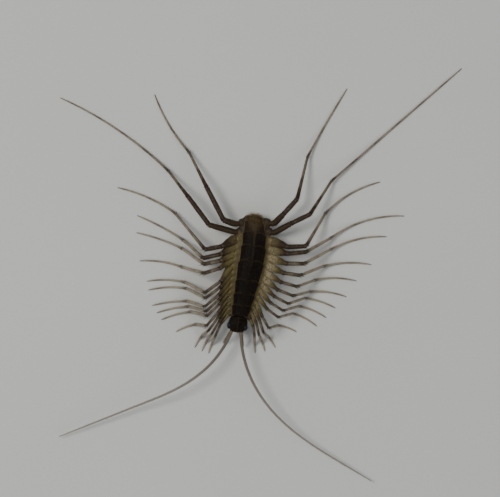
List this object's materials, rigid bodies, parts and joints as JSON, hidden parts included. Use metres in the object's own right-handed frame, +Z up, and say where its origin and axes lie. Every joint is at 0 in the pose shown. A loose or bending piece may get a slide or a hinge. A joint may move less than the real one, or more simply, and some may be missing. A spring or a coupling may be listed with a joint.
{
  "type": "house centipede",
  "caption": "Life-size still house centipede: long plated trunk, domed head with feelers, poison claws, and many long spined legs arched out to flat feet.",
  "frame": {"origin": "on the floor under the middle of the whole stance, feelers and leg tips included", "axes": "+Z up from the floor, the head looks towards -Y and the tail towards +Y, and +X is on the right of the picture with the animal seen from above"},
  "size_m": [0.093, 0.0998, 0.0077],
  "materials": {
    "shell": "near-black brown hard skin with a satin gloss, a thin tan line down the back and paler edges to the plates",
    "leg": "olive tan, slightly see-through skin with dark brown bands, satin",
    "feeler": "finely ringed grey brown, satin",
    "eye": "glossy black with fine facets"
  },
  "bodies": {
    "root": {"trunk": "shell", "head": "shell", "eye_left": "eye", "eye_right": "eye", "antenna_left": "feeler", "antenna_right": "feeler", "claw_left": "leg", "claw_right": "leg", "palp_left": "leg", "palp_right": "leg", "leg_left_01": "leg", "leg_left_02": "leg", "leg_left_03": "leg", "leg_left_04": "leg", "leg_left_05": "leg", "leg_left_06": "leg", "leg_left_07": "leg", "leg_left_08": "leg", "leg_left_09": "leg", "leg_left_10": "leg", "leg_left_11": "leg", "leg_left_12": "leg", "leg_left_13": "leg", "leg_left_14": "leg", "leg_left_15": "leg", "leg_right_01": "leg", "leg_right_02": "leg", "leg_right_03": "leg", "leg_right_04": "leg", "leg_right_05": "leg", "leg_right_06": "leg", "leg_right_07": "leg", "leg_right_08": "leg", "leg_right_09": "leg", "leg_right_10": "leg", "leg_right_11": "leg", "leg_right_12": "leg", "leg_right_13": "leg", "leg_right_14": "leg", "leg_right_15": "leg"}
  },
  "joints": []
}
